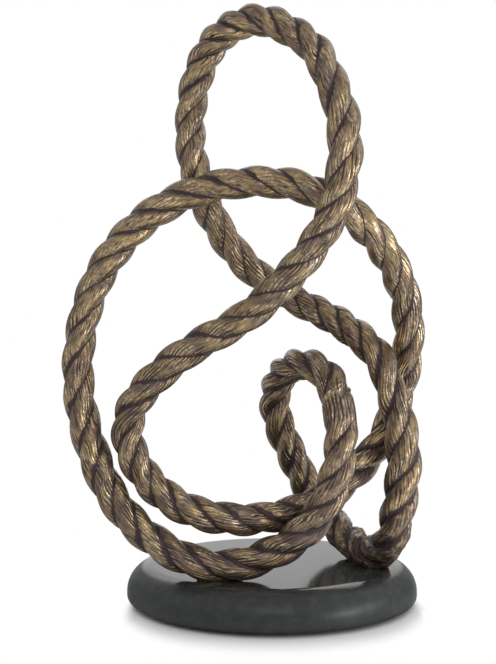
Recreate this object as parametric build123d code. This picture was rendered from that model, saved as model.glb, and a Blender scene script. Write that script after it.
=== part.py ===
from build123d import *

import math
import os

# Knot sculpture: one endless loop of cast three-strand rope on a round stone base.
# Millimetres, +Z up, origin at the centre of the underside. The front faces -Y.

# Rope
ROPE_DIAMETER = 25.0          # over the crests of the strands
GROOVE_RATIO = 0.74           # depth of the groove between strands, as a share of the radius
STRANDS = 3
SECTIONS_PER_STRAND = 4       # loft sections for each strand that passes the front of the rope
FIRST_STRAND_ANGLE = 1.0      # degrees from the front to the first strand, at the first joint

# Stone base and its pad
BASE_THICKNESS = 28.0
BASE_TOP_ROUND = 20.0
BASE_BOTTOM_ROUND = 5.5
BASE_RIM_LAND = 2.0           # least straight wall between the two roundings
FOOT_MARGIN = 15.0            # flat stone left outside the outer foot
PAD_THICKNESS = 2.0
PAD_INSET = 12.0              # from the rim of the base to the rim of the pad

# Feet, dowels and fasteners
SEAT_DEPTH = 3.0              # ground flat off the underside of each foot
STUD_DIAMETER = 6.0
STUD_ENGAGEMENT = 12.0        # depth of the stud in the rope
STUD_TAIL = 1.5               # stud below the nut
STUD_CLEARANCE = 0.3          # all round the stud in the stone
FIT = 0.05                    # all round a dowel or stud in its metal hole
END_CHAMFER = 0.6
WASHER_DIAMETER = 12.0
WASHER_THICKNESS = 1.6
NUT_ACROSS_FLATS = 10.0
NUT_HEIGHT = 5.0
SOCKET_CLEARANCE = 4.0        # all round the washer, for a socket wrench
SOCKET_SPARE = 2.0            # between the stud's lower end and the pad
DOWEL_DIAMETER = 8.0
DOWEL_LENGTH = 24.0

# Where two ropes pass close by, they keep this gap.
CROSSING_GAP = 0.6


def front(middle):
    """Depth of the nearer of two ropes that pass, in rope diameters."""
    return middle - (1 + CROSSING_GAP / ROPE_DIAMETER) / 2


def back(middle):
    """Depth of the farther of two ropes that pass, in rope diameters."""
    return middle + (1 + CROSSING_GAP / ROPE_DIAMETER) / 2


# Middle depths of the close crossings, in rope diameters
CROWN_OVER_RING = -2.92
RING_OVER_CROWN = -0.88
UPRIGHT_OVER_RING = -0.72
RISER_OVER_BOWL = -2.20

# Rope lengths in order round the loop: name, strands that pass the front of the rope in
# each equal share of the way, and the route from its first joint. A station is (x, y, height
# above the feet) in rope diameters, so that thicker rope ties the same knot. Each length ends
# where the next one starts.
RING_FOOT = (-1.48, -2.48, 0.00)
HOOK_FOOT = (2.96, -0.56, 0.00)
ROPE_LENGTHS = [
    ("crown_left", (2.15, 2.35, 3.05), [
        (-2.16, back(RING_OVER_CROWN), 10.96),
        (-2.42, -0.32, 12.04),
        (-2.46, -0.20, 13.04),
        (-2.26, -0.28, 14.24),
        (-1.70, -0.64, 15.30)]),
    ("crown_right", (2.75, 2.10, 2.15), [
        (-0.48, -1.32, 15.80),
        (0.70, -1.92, 15.26),
        (1.16, -2.28, 14.80),
        (1.54, -2.68, 14.00),
        (1.90, -3.16, 12.80),
        (1.96, -3.40, 11.80)]),
    ("front_diagonal", (2.45, 2.25, 2.30), [
        (1.72, front(CROWN_OVER_RING), 10.38),
        (1.08, -3.40, 9.14),
        (0.30, -3.28, 8.18),
        (-1.02, -3.00, 7.04),
        (-2.24, -2.80, 6.32)]),
    ("inner_bowl", (2.70, 2.65, 2.40, 2.40), [
        (-3.40, -2.64, 5.40),
        (-4.02, -2.52, 4.60),
        (-4.18, -2.48, 3.88),
        (-3.98, -2.48, 3.10),
        (-2.66, -2.44, 1.74),
        (-1.64, -2.36, 1.40),
        (-0.40, -2.04, 1.30),
        (1.04, back(RISER_OVER_BOWL), 1.62)]),
    ("ring_right", (2.45, 2.40, 2.30, 2.60), [
        (1.90, -1.32, 2.06),
        (2.68, -0.80, 2.68),
        (3.34, -0.32, 3.42),
        (3.74, back(UPRIGHT_OVER_RING), 4.40),
        (4.04, -0.08, 5.48),
        (4.10, -0.36, 7.00),
        (3.40, -1.44, 8.86),
        (2.82, -1.96, 9.58)]),
    ("ring_top", (2.50, 2.30, 2.70), [
        (1.68, back(CROWN_OVER_RING), 10.48),
        (0.76, -2.24, 10.90),
        (-0.40, -1.84, 11.06),
        (-1.94, front(RING_OVER_CROWN), 10.90),
        (-3.38, -1.44, 10.24)]),
    ("ring_left", (2.30, 2.15, 2.10), [
        (-4.96, -1.64, 8.52),
        (-5.58, -1.80, 6.64),
        (-5.62, -1.96, 4.96),
        (-5.18, -2.16, 3.18)]),
    ("ring_foot", (2.15, 1.85, 2.20), [
        (-4.54, -2.32, 1.86),
        (-3.10, -2.44, 0.52),
        RING_FOOT,
        (-0.16, -2.60, 0.36)]),
    ("riser", (2.00, 2.20), [
        (1.08, -2.76, 1.28),
        (1.56, front(RISER_OVER_BOWL), 2.04),
        (1.82, -2.68, 2.80),
        (1.92, -2.28, 4.24)]),
    ("small_loop", (2.20, 3.00, 2.25, 2.10), [
        (1.84, -1.92, 4.78),
        (1.56, -1.12, 5.44),
        (0.72, 0.08, 5.64),
        (0.16, 1.04, 4.90),
        (0.12, 1.36, 4.24),
        (0.66, 1.68, 2.68)]),
    ("foot_hook", (1.80, 2.05, 2.05, 1.75), [
        (1.56, 1.68, 1.00),
        (2.04, 1.24, 0.48),
        (2.60, 0.12, 0.08),
        HOOK_FOOT,
        (3.26, -1.04, 0.18),
        (3.48, -1.36, 0.58),
        (3.66, -1.48, 1.28),
        (3.80, -1.44, 2.08),
        (3.86, -1.36, 2.84)]),
    ("rear_diagonal", (2.35, 2.95, 2.30, 2.30), [
        (3.66, front(UPRIGHT_OVER_RING), 4.38),
        (3.46, -1.16, 5.04),
        (3.22, -0.80, 5.84),
        (2.76, -0.36, 6.40),
        (2.04, 0.08, 6.94),
        (0.72, 0.56, 7.62),
        (-0.92, 0.56, 8.84),
        (-1.54, 0.24, 9.66)]),
]

# Derived sizes
rope_radius = ROPE_DIAMETER / 2
strand_turn = 360.0 / STRANDS
FRONT = Vector(0, -1, 0)
base_top = PAD_THICKNESS + BASE_THICKNESS
rest_height = base_top + rope_radius - SEAT_DEPTH
foot_reach = ROPE_DIAMETER * max(math.hypot(foot[0], foot[1]) for foot in (RING_FOOT, HOOK_FOOT))
top_round = min(BASE_TOP_ROUND, BASE_THICKNESS - BASE_BOTTOM_ROUND - BASE_RIM_LAND)
base_radius = foot_reach + FOOT_MARGIN + top_round
stud_bottom = PAD_THICKNESS + SOCKET_SPARE
nut_bottom = stud_bottom + STUD_TAIL
washer_bottom = nut_bottom + NUT_HEIGHT
socket_top = washer_bottom + WASHER_THICKNESS
stud_top = base_top + STUD_ENGAGEMENT


def on_route(station):
    """Position in millimetres of one station of the route."""
    x, y, height = station
    return Vector(x, y, height) * ROPE_DIAMETER + Vector(0, 0, rest_height)


def rope_section(plane):
    """Closed outline of the rope: one arc for each strand, meeting in the grooves."""
    groove = rope_radius * GROOVE_RATIO
    arcs = []
    for strand in range(STRANDS):
        points = []
        for radius, turn in ((groove, -0.5), (rope_radius, 0.0), (groove, 0.5)):
            angle = math.radians(strand_turn * (strand + turn))
            points.append((radius * math.cos(angle), radius * math.sin(angle)))
        arcs.append(plane.from_local_coords(ThreePointArc(*points)))
    return Wire(arcs)


def upright_cylinder(place, diameter, bottom, top):
    """Vertical cylinder at a foot, between two heights."""
    body = Cylinder(diameter / 2, top - bottom, align=(Align.CENTER, Align.CENTER, Align.MIN))
    return Pos(place.X, place.Y, bottom) * body


def write_part(shape, name):
    """Write one node's STEP file."""
    shape.label = name
    export_step(shape, "parts/" + name + ".step")


os.makedirs("parts", exist_ok=True)

# The rope's line, and where each length's joints fall on it
all_stations = [station for _, _, stations in ROPE_LENGTHS for station in stations]
centre_line = Spline(*[on_route(station) for station in all_stations], periodic=True)
joint_places = [0.0]
for _, _, stations in ROPE_LENGTHS[1:]:
    joint_places.append(centre_line.param_at_point(on_route(stations[0])))
joint_places.append(1.0)

# Shares of the lengths. Whole strands pass round the loop, so that its last section meets its first.
share_places = []
for index, (_, counts, _) in enumerate(ROPE_LENGTHS):
    start, end = joint_places[index], joint_places[index + 1]
    share_places += [start + (end - start) * share / len(counts) for share in range(len(counts))]
share_places.append(1.0)
counted = [count for _, counts, _ in ROPE_LENGTHS for count in counts]
whole_loop = round(sum(counted)) / sum(counted)
spans = [end - start for start, end in zip(share_places, share_places[1:])]
rates = [whole_loop * count / span for count, span in zip(counted, spans)]


def strands_passed(index, share):
    """Strands passed within one share, part of the way along it, easing to its neighbours' rates."""
    span, rate = spans[index], rates[index]
    start_rate = (rates[index - 1] + rate) / 2
    end_rate = (rate + rates[(index + 1) % len(rates)]) / 2
    ease = 3 * rate - 2 * start_rate - end_rate
    ease_back = start_rate + end_rate - 2 * rate
    return span * share * (start_rate + share * (ease + share * ease_back))


def rope_plane(place, turn):
    """Plane across the rope, with its X axis on a strand's crest."""
    tangent = centre_line % place
    forward = (FRONT - tangent * FRONT.dot(tangent)).normalized()
    crest = forward.rotate(Axis((0, 0, 0), tangent), turn)
    return Plane(centre_line @ place, x_dir=crest, z_dir=tangent)


# Planes across the whole loop, in order
planes = []
first_planes = []
passed = 0.0
for index, span in enumerate(spans):
    if share_places[index] in joint_places:
        first_planes.append(len(planes))
    steps = round(counted[index] * SECTIONS_PER_STRAND)
    for step in range(steps):
        turn = FIRST_STRAND_ANGLE + strand_turn * (passed + strands_passed(index, step / steps))
        planes.append(rope_plane(share_places[index] + span * step / steps, turn))
    passed += strands_passed(index, 1.0)
first_planes.append(len(planes))
planes.append(rope_plane(1.0, FIRST_STRAND_ANGLE + strand_turn * passed))
sections = [rope_section(plane) for plane in planes]

# Feet: what is ground off under the rope, and the holes for the studs
feet = {"ring": on_route(RING_FOOT), "hook": on_route(HOOK_FOOT)}
foot_lengths = {"ring_foot": feet["ring"], "foot_hook": feet["hook"]}
ground_off = Pos(0, 0, base_top) * Box(
    3 * base_radius, 3 * base_radius, base_top, align=(Align.CENTER, Align.CENTER, Align.MAX))

# Rope lengths, drilled for the dowels at both ends
dowel_hole = Cylinder(DOWEL_DIAMETER / 2 + FIT, DOWEL_LENGTH)
for index, (name, _, _) in enumerate(ROPE_LENGTHS):
    first, last = first_planes[index], first_planes[index + 1]
    rope = Solid.make_loft(sections[first:last + 1])
    rope = rope - planes[first] * dowel_hole - planes[last] * dowel_hole
    if name in foot_lengths:
        stud_hole = upright_cylinder(foot_lengths[name], STUD_DIAMETER + 2 * FIT, base_top, stud_top)
        rope = rope - ground_off - stud_hole
    write_part(rope, name)

# Dowels, one in each joint
dowel = Cylinder(DOWEL_DIAMETER / 2, DOWEL_LENGTH)
dowel = chamfer(dowel.edges().filter_by(GeomType.CIRCLE), END_CHAMFER)
for index in range(len(ROPE_LENGTHS)):
    write_part(planes[first_planes[index]] * dowel, "joint_dowel_" + str(index + 1))

# Stone base
base = Cylinder(base_radius, BASE_THICKNESS, align=(Align.CENTER, Align.CENTER, Align.MIN))
base = fillet(base.edges().group_by(Axis.Z)[-1], top_round)
base = fillet(base.edges().filter_by(GeomType.CIRCLE).group_by(Axis.Z)[0], BASE_BOTTOM_ROUND)
base = Pos(0, 0, PAD_THICKNESS) * base
for place in feet.values():
    socket = WASHER_DIAMETER + 2 * SOCKET_CLEARANCE
    base -= upright_cylinder(place, socket, PAD_THICKNESS, socket_top)
    base -= upright_cylinder(place, STUD_DIAMETER + 2 * STUD_CLEARANCE, socket_top, base_top)
write_part(base, "base_disc")

# Pad under the stone
pad = Cylinder(base_radius - PAD_INSET, PAD_THICKNESS, align=(Align.CENTER, Align.CENTER, Align.MIN))
write_part(pad, "base_pad")

# Fasteners under each foot
for foot, place in feet.items():
    stud = upright_cylinder(place, STUD_DIAMETER, stud_bottom, stud_top)
    stud = chamfer(stud.edges().filter_by(GeomType.CIRCLE), END_CHAMFER)
    write_part(stud, "foot_stud_" + foot)

    washer = upright_cylinder(place, WASHER_DIAMETER, washer_bottom, socket_top)
    washer -= upright_cylinder(place, STUD_DIAMETER + 2 * STUD_CLEARANCE, washer_bottom, socket_top)
    write_part(washer, "foot_washer_" + foot)

    hexagon = RegularPolygon(NUT_ACROSS_FLATS / 2, 6, major_radius=False)
    nut = Pos(place.X, place.Y, nut_bottom) * extrude(hexagon, NUT_HEIGHT)
    nut -= upright_cylinder(place, STUD_DIAMETER + 2 * FIT, nut_bottom, washer_bottom)
    write_part(nut, "foot_nut_" + foot)
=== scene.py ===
import logging
import math
from dataclasses import dataclass, field
from enum import Enum

import bpy
import numpy as np
from bpy.types import ID, Material, Mesh, Node, NodeOutputs, NodeSocket, NodeTree, Object
from numpy.typing import NDArray
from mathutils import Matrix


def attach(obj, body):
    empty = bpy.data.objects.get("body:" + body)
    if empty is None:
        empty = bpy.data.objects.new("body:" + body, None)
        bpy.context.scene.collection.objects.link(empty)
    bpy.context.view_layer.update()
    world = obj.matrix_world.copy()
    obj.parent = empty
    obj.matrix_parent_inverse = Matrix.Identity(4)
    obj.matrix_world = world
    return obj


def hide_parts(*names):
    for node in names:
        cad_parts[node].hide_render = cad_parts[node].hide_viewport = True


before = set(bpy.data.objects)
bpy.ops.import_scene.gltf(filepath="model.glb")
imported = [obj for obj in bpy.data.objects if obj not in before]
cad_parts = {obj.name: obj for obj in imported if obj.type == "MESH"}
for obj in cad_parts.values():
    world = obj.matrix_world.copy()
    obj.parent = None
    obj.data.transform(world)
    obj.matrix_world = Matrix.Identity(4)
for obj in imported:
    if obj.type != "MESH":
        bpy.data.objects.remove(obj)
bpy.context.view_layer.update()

# Knot sculpture: an endless loop of cast three-strand rope with an antique brass finish, on a
# round stone base. Metres, +Z up, the front faces -Y, as in the CAD frame.

Array = NDArray[np.float64]
Pair = tuple[float, float]
Vector = tuple[float, float, float]
Colour = tuple[float, float, float, float]
Sources = dict[str | int, object]

BAKE_MAP = "OFBake"
BAKE_SKIN = 0.95
BAKE_CAPS = ((0.03, 0.975), (0.08, 0.975))
BAKE_CAP_RADIUS = 0.018
BODY = "root"

# Sockets of a mix node that are for colours
MIX_FIRST, MIX_SECOND, MIX_RESULT = 6, 7, 2

log = logging.getLogger("knot_sculpture")


class Slot(Enum):
    """Material slots of the record that the pieces take their finish from."""

    ROPE = "rope_metal"
    STONE = "stone"
    STEEL = "steel"
    FELT = "felt"


class Mask(Enum):
    """Vertex attributes that carry relief, wear and painted light and shade to the rope's finish.
    """

    # Patina in grooves and lines, plus painted shade on the flanks and near the base
    CAVITY = "cavity"
    # Rubbed crests, plus painted highlight on the flanks that face the key light
    RUB = "rub"
    LAY = "lay"


class Noise(Enum):
    """Noise fields of the rope, counted on from its seed."""

    EDGE = 0
    WANDER = 1
    FADE = 2
    SWELL = 3
    PIT = 4
    PATCH = 5
    WEAR = 6
    KNOB = 7


# Route of the rope: places in rope diameters, and the depths at which two lengths pass

ROPE_DIAMETER = 0.025
CROSSING_GAP = 0.0006
HALF_CROSSING = (1 + CROSSING_GAP / ROPE_DIAMETER) / 2

CROWN_OVER_RING = -2.92
RING_OVER_CROWN = -0.88
UPRIGHT_OVER_RING = -0.72
RISER_OVER_BOWL = -2.20


def front(middle: float) -> float:
    """Depth of the nearer of two ropes that pass, in rope diameters."""
    return middle - HALF_CROSSING


def back(middle: float) -> float:
    """Depth of the farther of two ropes that pass, in rope diameters."""
    return middle + HALF_CROSSING


@dataclass(frozen=True)
class RopeLength:
    """One cast length: its node, the strands that pass its front, and its stations.

    The strands are counted in each equal share of its way. Unrubbed is the share left dark when
    the rest was rubbed and smooth the share by which it is worn smooth, both at its middle. Smooth
    also sets how strongly highlight and shade are painted on its flanks.
    """

    node: str
    counts: tuple[float, ...]
    stations: tuple[Vector, ...]
    unrubbed: float = 0.0
    smooth: float = 0.0


ROPE_LENGTHS = (
    RopeLength("crown_left", (2.15, 2.35, 3.05), (
        (-2.16, back(RING_OVER_CROWN), 10.96), (-2.42, -0.32, 12.04), (-2.46, -0.20, 13.04),
        (-2.26, -0.28, 14.24), (-1.70, -0.64, 15.30)), smooth=0.5),
    RopeLength("crown_right", (2.75, 2.10, 2.15), (
        (-0.48, -1.32, 15.80), (0.70, -1.92, 15.26), (1.16, -2.28, 14.80), (1.54, -2.68, 14.00),
        (1.90, -3.16, 12.80), (1.96, -3.40, 11.80)), smooth=0.2),
    RopeLength("front_diagonal", (2.45, 2.25, 2.30), (
        (1.72, front(CROWN_OVER_RING), 10.38), (1.08, -3.40, 9.14), (0.30, -3.28, 8.18),
        (-1.02, -3.00, 7.04), (-2.24, -2.80, 6.32))),
    RopeLength("inner_bowl", (2.70, 2.65, 2.40, 2.40), (
        (-3.40, -2.64, 5.40), (-4.02, -2.52, 4.60), (-4.18, -2.48, 3.88), (-3.98, -2.48, 3.10),
        (-2.66, -2.44, 1.74), (-1.64, -2.36, 1.40), (-0.40, -2.04, 1.30),
        (1.04, back(RISER_OVER_BOWL), 1.62))),
    RopeLength("ring_right", (2.45, 2.40, 2.30, 2.60), (
        (1.90, -1.32, 2.06), (2.68, -0.80, 2.68), (3.34, -0.32, 3.42),
        (3.74, back(UPRIGHT_OVER_RING), 4.40), (4.04, -0.08, 5.48), (4.10, -0.36, 7.00),
        (3.40, -1.44, 8.86), (2.82, -1.96, 9.58))),
    RopeLength("ring_top", (2.50, 2.30, 2.70), (
        (1.68, back(CROWN_OVER_RING), 10.48), (0.76, -2.24, 10.90), (-0.40, -1.84, 11.06),
        (-1.94, front(RING_OVER_CROWN), 10.90), (-3.38, -1.44, 10.24)), smooth=1.0),
    RopeLength("ring_left", (2.30, 2.15, 2.10), (
        (-4.96, -1.64, 8.52), (-5.58, -1.80, 6.64), (-5.62, -1.96, 4.96), (-5.18, -2.16, 3.18))),
    RopeLength("ring_foot", (2.15, 1.85, 2.20), (
        (-4.54, -2.32, 1.86), (-3.10, -2.44, 0.52), (-1.48, -2.48, 0.00), (-0.16, -2.60, 0.36))),
    RopeLength("riser", (2.00, 2.20), (
        (1.08, -2.76, 1.28), (1.56, front(RISER_OVER_BOWL), 2.04), (1.82, -2.68, 2.80),
        (1.92, -2.28, 4.24))),
    RopeLength("small_loop", (2.20, 3.00, 2.25, 2.10), (
        (1.84, -1.92, 4.78), (1.56, -1.12, 5.44), (0.72, 0.08, 5.64), (0.16, 1.04, 4.90),
        (0.12, 1.36, 4.24), (0.66, 1.68, 2.68))),
    RopeLength("foot_hook", (1.80, 2.05, 2.05, 1.75), (
        (1.56, 1.68, 1.00), (2.04, 1.24, 0.48), (2.60, 0.12, 0.08), (2.96, -0.56, 0.00),
        (3.26, -1.04, 0.18), (3.48, -1.36, 0.58), (3.66, -1.48, 1.28), (3.80, -1.44, 2.08),
        (3.86, -1.36, 2.84)), unrubbed=1.0),
    RopeLength("rear_diagonal", (2.35, 2.95, 2.30, 2.30), (
        (3.66, front(UPRIGHT_OVER_RING), 4.38), (3.46, -1.16, 5.04), (3.22, -0.80, 5.84),
        (2.76, -0.36, 6.40), (2.04, 0.08, 6.94), (0.72, 0.56, 7.62), (-0.92, 0.56, 8.84),
        (-1.54, 0.24, 9.66))),
)


# Fullness of the casting along the loop: distance from the first joint, share of the radius

FULLNESS = (
    (0.00, 0.98), (0.04, 0.965), (0.12, 0.98), (0.20, 0.96), (0.25, 0.99), (0.295, 1.05),
    (0.325, 1.00), (0.365, 0.955), (0.40, 0.98), (0.44, 0.96), (0.52, 0.975), (0.60, 0.985),
    (0.65, 1.00), (0.69, 0.96), (0.75, 0.98), (0.90, 0.985), (0.98, 1.01), (1.05, 0.98),
    (1.08, 0.945), (1.12, 0.98), (1.16, 1.00), (1.22, 0.975), (1.30, 0.957), (1.355, 1.01),
    (1.40, 0.975), (1.45, 1.00), (1.60, 1.02), (1.65, 0.98), (1.76, 1.02), (1.85, 1.02),
    (1.95, 1.05), (1.99, 1.08), (2.02, 1.12), (2.04, 1.08), (2.065, 0.98), (2.085, 0.95),
    (2.12, 1.00), (2.15, 0.97), (2.19, 0.93), (2.24, 0.975), (2.29, 1.00),
)


def new_object(name: str, data: ID) -> Object:
    """Add an object to the scene.

    Args:
        name: Name of the object.
        data: Its mesh, lamp or camera.

    Returns:
        The new object.
    """
    made = bpy.data.objects.new(name, data)
    bpy.context.scene.collection.objects.link(made)
    return made


def smooth_step(low: float, high: float, value: Array) -> Array:
    """Eased rise from 0 at low to 1 at high."""
    share = np.clip((value - low) / (high - low), 0.0, 1.0)
    return share * share * (3 - 2 * share)


def rise(pair: Pair, value: Array) -> Array:
    """Start of a pair plus its gain times a value."""
    return pair[0] + pair[1] * value


class SmoothNoise:
    """Seeded value noise over two axes, from 0 to 1, one cell a unit."""

    SIZE = 256

    def __init__(self, seed: int) -> None:
        """Draw the table of corner values from one seed."""
        self.table = np.random.default_rng(seed).random((self.SIZE, self.SIZE))

    def at(self, first: Array, second: Array) -> Array:
        """Noise at points given in cells.

        Args:
            first: Places along the first axis.
            second: Places along the second axis, broadcast against the first.

        Returns:
            Values from 0 to 1.
        """
        first, second = np.broadcast_arrays(first, second)
        row, column = np.floor(first).astype(int), np.floor(second).astype(int)
        down = smooth_step(0.0, 1.0, first - row)
        over = smooth_step(0.0, 1.0, second - column)
        row, column = row % self.SIZE, column % self.SIZE
        next_row, next_column = (row + 1) % self.SIZE, (column + 1) % self.SIZE
        table = self.table
        upper = table[row, column] * (1 - over) + table[row, next_column] * over
        lower = table[next_row, column] * (1 - over) + table[next_row, next_column] * over
        return upper * (1 - down) + lower * down


class RopeLine:
    """Closed smooth centre line through every station, measured by arc length."""

    STEPS = 240

    def __init__(self, points: Array) -> None:
        """Fit the line through the points and measure it.

        Args:
            points: Stations in order, one row each.
        """
        self.points = points
        self.chords = np.linalg.norm(np.roll(points, -1, axis=0) - points, axis=1)
        self.knots = np.concatenate(([0.0], np.cumsum(self.chords)))
        self.bends = self._solve_bends()
        self.table = np.linspace(0.0, self.knots[-1], self.STEPS * len(points) + 1)
        places = self._evaluate(self.table)[0]
        steps = np.linalg.norm(np.diff(places, axis=0), axis=1)
        self.travel = np.concatenate(([0.0], np.cumsum(steps)))
        self.length = float(self.travel[-1])

    def _solve_bends(self) -> Array:
        """Solve the closed cubic spline.

        Returns:
            Second derivatives at the stations, one row each.
        """
        here = np.arange(len(self.points))
        step_in, step_out = np.roll(self.chords, 1), self.chords
        system = np.diag(2 * (step_in + step_out))
        system[here, here - 1] = step_in
        system[here, (here + 1) % len(here)] = step_out
        slopes = (np.roll(self.points, -1, axis=0) - self.points) / step_out[:, None]
        return np.linalg.solve(system, 6 * (slopes - np.roll(slopes, 1, axis=0)))

    def _evaluate(self, knot: Array) -> tuple[Array, Array]:
        """Points and directions at spline parameters.

        Args:
            knot: Spline parameters, as summed chord lengths.

        Returns:
            Points and unit directions, one row each.
        """
        count = len(self.points)
        here = np.clip(np.searchsorted(self.knots, knot, side="right") - 1, 0, count - 1)
        after = (here + 1) % count
        step = self.chords[here][:, None]
        far = (knot - self.knots[here])[:, None] / step
        near = 1 - far
        start, end = self.points[here], self.points[after]
        bend_start, bend_end = self.bends[here], self.bends[after]
        place = near * start + far * end + (
            (near**3 - near) * bend_start + (far**3 - far) * bend_end) * step**2 / 6
        slope = (end - start) / step + (
            (3 * far**2 - 1) * bend_end - (3 * near**2 - 1) * bend_start) * step / 6
        return place, slope / np.linalg.norm(slope, axis=1, keepdims=True)

    def at(self, along: Array) -> tuple[Array, Array]:
        """Points and unit directions at distances round the loop, one row each."""
        return self._evaluate(np.interp(along % self.length, self.travel, self.table))

    def distance_to(self, station: int) -> float:
        """Distance along the loop to a station."""
        return float(np.interp(self.knots[station], self.table, self.travel))


class RopeLay:
    """Turn of the strands along the loop, set by the strands that pass each length."""

    def __init__(self, line: RopeLine, lengths: tuple[RopeLength, ...], strands: int) -> None:
        """Place the joints and find the rate of turn in each share of a length.

        Args:
            line: Centre line of the loop.
            lengths: Rope lengths in order.
            strands: Strands of the rope.
        """
        firsts = np.cumsum([0] + [len(length.stations) for length in lengths])
        self.joints = np.array([line.distance_to(first) for first in firsts])
        counted = np.concatenate([length.counts for length in lengths])
        shares = [np.arange(len(length.counts)) / len(length.counts) for length in lengths]
        starts = [start + span * share
                  for start, span, share in zip(self.joints, np.diff(self.joints), shares)]
        self.places = np.append(np.concatenate(starts), self.joints[-1])
        self.spans = np.diff(self.places)
        whole_loop = round(float(counted.sum())) / counted.sum()
        self.rates = whole_loop * counted / self.spans
        self.passed = np.concatenate(([0.0], np.cumsum(self.rates * self.spans)))
        self.strand_turn = 2 * math.pi / strands

    def turn(self, along: Array, first_angle: float) -> Array:
        """Angle of the first strand's crest from the front.

        Args:
            along: Distances along the loop.
            first_angle: Angle at the first joint, in radians.

        Returns:
            Angles in radians.
        """
        last = len(self.spans) - 1
        index = np.clip(np.searchsorted(self.places, along, side="right") - 1, 0, last)
        span, rate = self.spans[index], self.rates[index]
        start_rate = (self.rates[index - 1] + rate) / 2
        end_rate = (rate + self.rates[(index + 1) % len(self.rates)]) / 2
        ease = 3 * rate - 2 * start_rate - end_rate
        ease_back = start_rate + end_rate - 2 * rate
        share = (along - self.places[index]) / span
        passes = span * share * (start_rate + share * (ease + share * ease_back))
        return first_angle + self.strand_turn * (self.passed[index] + passes)


@dataclass(frozen=True)
class YarnRelief:
    """Cast relief of the yarns on a strand: lengths in metres, the rest as shares.

    A cell is the size of one cell of noise, a range is where an eased rise starts and ends, and
    any other pair is a start and a gain.
    """

    pitch: float = 0.0022
    depth: float = 0.0007
    depth_smooth: float = 0.6
    depth_unrubbed: float = 0.5
    gouge: float = 0.0006
    gouge_range: Pair = (0.56, 0.76)
    roundness: float = 1.7
    lean: float = 1.04
    bent_lean: float = 0.4
    jitter: float = 0.42
    wander: float = 0.0011
    wander_cell: float = 0.022
    fade_cell: float = 0.010
    fade_step: float = 0.77
    fade_smooth: float = 0.4
    fade_unrubbed: float = 0.5
    fade_filled: Pair = (0.55, 0.7)
    shown: Pair = (0.55, 0.45)
    shown_range: Pair = (0.25, 0.7)
    edge_range: Pair = (0.88, 0.99)
    swell: float = 0.00035
    swell_cell: float = 0.028
    swell_middle: float = 0.75
    knob: float = 0.0020
    knob_cell: float = 0.0038
    pit: float = 0.0003
    pit_cell: float = 0.0021
    pit_range: Pair = (0.88, 0.99)
    scratch: float = 0.0003
    scratch_cells: Pair = (0.0045, 0.0013)
    scratch_range: Pair = (0.62, 0.85)
    lane_step: float = 31.7
    edge_step: int = 17
    seed: int = 41


@dataclass(frozen=True)
class RopeWear:
    """Dark grooves, rubbed crests, stains, painted highlight and shade (metres, else shares)."""

    groove: float = 0.0015
    groove_range: Pair = (0.1, 1.0)
    patch: float = 0.0056
    patch_cell: float = 0.015
    patch_step: float = 3.3
    # Painted shade widens the patches near the base and on flanks turned away from the key light
    patch_base_shade: float = 0.3
    shade_patch_lit: Pair = (0.36, 0.3)
    patch_range: Pair = (0.44, 0.92)
    ragged: Pair = (0.45, 1.1)
    ragged_cells: Pair = (0.004, 0.0025)
    line_range: Pair = (0.3, 0.92)
    line_shown: float = 0.6
    line_gouged: float = 0.4
    line_flank: float = 0.25
    line_flank_range: Pair = (0.45, 0.95)
    line_smooth: float = 0.4
    line_unrubbed: float = 0.5
    pit: float = 0.7
    worn_cells: Pair = (0.011, 0.006)
    # Painted highlight: rub raised on flanks facing the key light, by smoothness and by reach
    highlight_lit: Pair = (0.55, 0.9)
    highlight_reach: Pair = (0.3, 0.7)
    worn_range: Pair = (0.25, 0.7)
    rub_range: Pair = (0.15, 0.75)
    rub_unrubbed: float = 0.85
    rub_scratch: float = 0.35
    blotch_cells: Pair = (0.007, 0.004)
    # Painted shade near the base, stronger on flanks turned away from the key light
    base_shade_lines: Pair = (0.25, 0.55)
    base_shade_lit: float = 0.35
    base_shade_range: Pair = (0.5, 0.9)
    tarnish: Pair = (0.5, 0.4)
    tarnish_flank: float = 0.3
    tarnish_flank_range: Pair = (0.3, 0.9)
    tarnish_scratch: float = 0.6
    # Painted shade on the flanks of smooth lengths turned away from the key light
    upper: float = 0.95
    painted_shade_blotch: float = 0.25
    painted_shade_range: Pair = (0.12, 0.7)


@dataclass(frozen=True)
class WeldSeam:
    """Lumpy weld across the rope at one joint, in metres."""

    joint: int = 9
    height: float = 0.0019
    half_width: float = 0.0034
    slant: float = 0.0065
    lump_cell: float = 0.0029
    lump_range: Pair = (0.1, 0.9)
    ragged: float = 1.6
    ragged_cell: float = 0.004
    ragged_shift: float = 50.0
    foot_place: float = 1.15
    foot_width: float = 0.3
    foot_range: Pair = (0.3, 0.8)
    foot_dark: float = 0.8
    rub: float = 0.4


@dataclass(frozen=True)
class FilledGrooves:
    """Stretch below the weld that is filled and lined along the rope, in metres."""

    below: float = 0.012
    half_length: float = 0.0105
    share: float = 0.95
    sink: float = 0.0002
    line_depth: float = 0.0015
    line_density: float = 1.4
    wander: float = 0.9
    wander_cell: float = 0.012
    wander_step: float = 3.0
    fade_cell: float = 0.02
    fade_step: float = 5.0
    fade_range: Pair = (0.2, 0.6)
    dark: Pair = (0.35, 0.65)
    dark_range: Pair = (0.35, 0.9)
    rub: float = 0.85
    rub_range: Pair = (0.1, 0.65)


@dataclass
class Skin:
    """Surface of the strands, by row along the rope and column round it.

    Along, across and arc are metres: along the loop, across the yarns, and from the strand's
    crest. Lane and flank place a strand and its two flanks in the noise. The rest are shares.
    """

    along: Array
    across: Array
    arc: Array
    lane: Array
    flank: Array
    reach: Array
    lit: Array
    off_ridge: Array
    shown: Array
    gouged: Array
    pits: Array
    scratched: Array
    unrubbed: Array
    smooth: Array


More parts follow.
